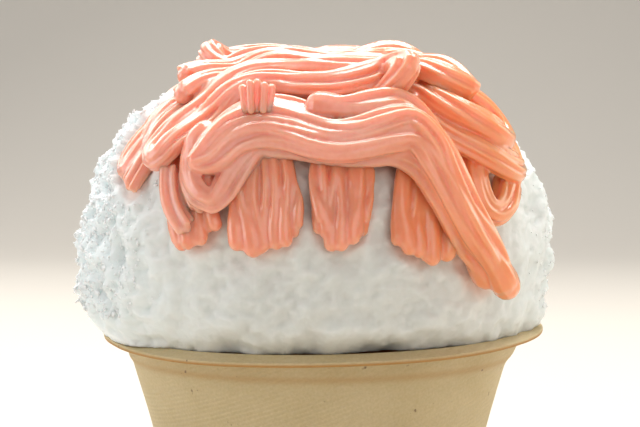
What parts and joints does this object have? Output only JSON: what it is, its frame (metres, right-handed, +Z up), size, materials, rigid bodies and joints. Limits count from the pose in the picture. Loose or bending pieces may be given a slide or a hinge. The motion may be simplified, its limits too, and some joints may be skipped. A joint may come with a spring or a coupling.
{
  "type": "kakigori shaved ice dessert",
  "caption": "Round heap of shaved ice in a flared moulded-fibre cup, topped with piped ropes of thin pink cream strands that hang down its sides.",
  "frame": {"origin": "middle of the flat underside of the cup", "axes": "+Z up through the heap; -Y towards the front, where the long cream tail hangs to the right; +X to the right seen from the front"},
  "size_m": [0.1234, 0.1238, 0.1353],
  "materials": {
    "moulded_fibre": "unbleached moulded plant fibre, matte, with a fine slanted mesh mark and a few dark specks",
    "shaved_ice": "fine shaved ice, white and slightly translucent, granular, wet and smooth in places",
    "pink_cream": "soft salmon pink cream strands, glossy and slightly translucent"
  },
  "bodies": {
    "root": {"cup": "moulded_fibre", "ice": "shaved_ice", "cream": "pink_cream"}
  },
  "joints": []
}
